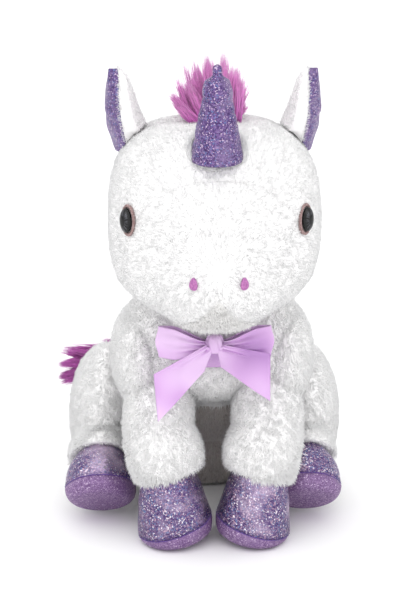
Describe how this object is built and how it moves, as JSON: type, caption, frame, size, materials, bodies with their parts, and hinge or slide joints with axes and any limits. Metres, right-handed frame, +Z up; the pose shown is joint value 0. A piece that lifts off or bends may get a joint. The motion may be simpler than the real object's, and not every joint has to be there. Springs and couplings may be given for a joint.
{
  "type": "plush unicorn",
  "caption": "Seated plush unicorn with a stuffed horn, glitter hooves, long-pile mane and tail, and a satin neck bow; head, ears, legs and tail move.",
  "frame": {"origin": "centre of the flat seat panel, on the floor", "axes": "+Z up, the toy faces -Y, its own left side is +X"},
  "size_m": [0.2428, 0.3469, 0.3909],
  "materials": {
    "bean_pouch": "cotton pouch filled with plastic pellets",
    "curly_plush": "short curly off-white pile under the chin",
    "eye_plastic": "polished black safety eye with a grey streaked iris",
    "glitter_lame": "purple lame with holographic glitter",
    "mane_pile": "long magenta pile combed into spikes",
    "nostril_thread": "magenta satin-stitch embroidery",
    "polyester_filling": "carded polyester fibre",
    "rim_thread": "thin stitched pinkish-brown rim",
    "satin_ribbon": "lilac polyester satin",
    "sole_lame": "dull mauve lame with fine glitter",
    "washer_plastic": "white moulded locking washer",
    "white_plush": "long soft white polyester pile on a knitted backing"
  },
  "bodies": {
    "torso": {"torso_stuffing": "polyester_filling", "chest_panel": "white_plush", "torso_side_left": "white_plush", "torso_side_right": "white_plush", "back_panel": "white_plush", "seat_panel": "white_plush", "bean_pouch": "bean_pouch", "neck_ribbon": "satin_ribbon", "bow_knot": "satin_ribbon", "bow_loop_left": "satin_ribbon", "bow_loop_right": "satin_ribbon", "bow_tail_left": "satin_ribbon", "bow_tail_right": "satin_ribbon"},
    "neck": {"neck_wad": "polyester_filling"},
    "head": {"head_stuffing": "polyester_filling", "head_side_left": "white_plush", "head_side_right": "white_plush", "head_gusset": "white_plush", "muzzle_cover": "white_plush", "chin_panel": "curly_plush", "horn_cover": "glitter_lame", "horn_stuffing": "polyester_filling", "mane_tuft": "mane_pile", "mane_strip": "mane_pile", "eye_left": "eye_plastic", "eye_right": "eye_plastic", "eye_washer_left": "washer_plastic", "eye_washer_right": "washer_plastic", "eye_rim_left": "rim_thread", "eye_rim_right": "rim_thread", "nostril_left": "nostril_thread", "nostril_right": "nostril_thread"},
    "ear_left": {"ear_back_left": "white_plush", "ear_lining_left": "glitter_lame"},
    "front_leg_left": {"front_leg_cover_left": "white_plush", "front_leg_stuffing_left": "polyester_filling", "front_hoof_upper_left": "glitter_lame", "front_hoof_sole_left": "sole_lame", "front_hoof_stuffing_left": "polyester_filling"},
    "hind_leg_left": {"hind_leg_cover_left": "white_plush", "hind_leg_stuffing_left": "polyester_filling", "hind_hoof_upper_left": "glitter_lame", "hind_hoof_sole_left": "sole_lame", "hind_hoof_stuffing_left": "polyester_filling"},
    "ear_right": {"ear_back_right": "white_plush", "ear_lining_right": "glitter_lame"},
    "front_leg_right": {"front_leg_cover_right": "white_plush", "front_leg_stuffing_right": "polyester_filling", "front_hoof_upper_right": "glitter_lame", "front_hoof_sole_right": "sole_lame", "front_hoof_stuffing_right": "polyester_filling"},
    "hind_leg_right": {"hind_leg_cover_right": "white_plush", "hind_leg_stuffing_right": "polyester_filling", "hind_hoof_upper_right": "glitter_lame", "hind_hoof_sole_right": "sole_lame", "hind_hoof_stuffing_right": "polyester_filling"},
    "tail": {"tail_hair": "mane_pile", "tail_core": "mane_pile"}
  },
  "joints": [
    {"name": "head_turn", "type": "hinge", "parent": "torso", "child": "neck", "pos_m": [0, -0.134, 0.192], "axis": [0, 0, 1], "range_deg": [-30, 30]},
    {"name": "head_nod", "type": "hinge", "parent": "neck", "child": "head", "pos_m": [0, -0.134, 0.192], "axis": [-1, 0, 0], "range_deg": [-3, 18]},
    {"name": "ear_fold_left", "type": "hinge", "parent": "head", "child": "ear_left", "pos_m": [0.074, -0.162, 0.313], "axis": [0, 1, 0], "range_deg": [0, 25]},
    {"name": "front_leg_swing_left", "type": "hinge", "parent": "torso", "child": "front_leg_left", "pos_m": [0.058, -0.133, 0.144], "axis": [-1, 0, 0], "range_deg": [-3, 34], "deforming": ["bow_tail_left", "bow_loop_left"]},
    {"name": "hind_leg_lift_left", "type": "hinge", "parent": "torso", "child": "hind_leg_left", "pos_m": [0.086, -0.045, 0.064], "axis": [-1, 0, 0], "range_deg": [0, 9]},
    {"name": "ear_fold_right", "type": "hinge", "parent": "head", "child": "ear_right", "pos_m": [-0.074, -0.162, 0.313], "axis": [0, -1, 0], "range_deg": [0, 25]},
    {"name": "front_leg_swing_right", "type": "hinge", "parent": "torso", "child": "front_leg_right", "pos_m": [-0.058, -0.133, 0.144], "axis": [-1, 0, 0], "range_deg": [-3, 34], "deforming": ["bow_tail_right", "bow_loop_right"]},
    {"name": "hind_leg_lift_right", "type": "hinge", "parent": "torso", "child": "hind_leg_right", "pos_m": [-0.086, -0.045, 0.064], "axis": [-1, 0, 0], "range_deg": [0, 9]},
    {"name": "tail_swing", "type": "hinge", "parent": "torso", "child": "tail", "pos_m": [0, 0.06, 0.084], "axis": [0, 0, -1], "range_deg": [-4, 75]}
  ]
}
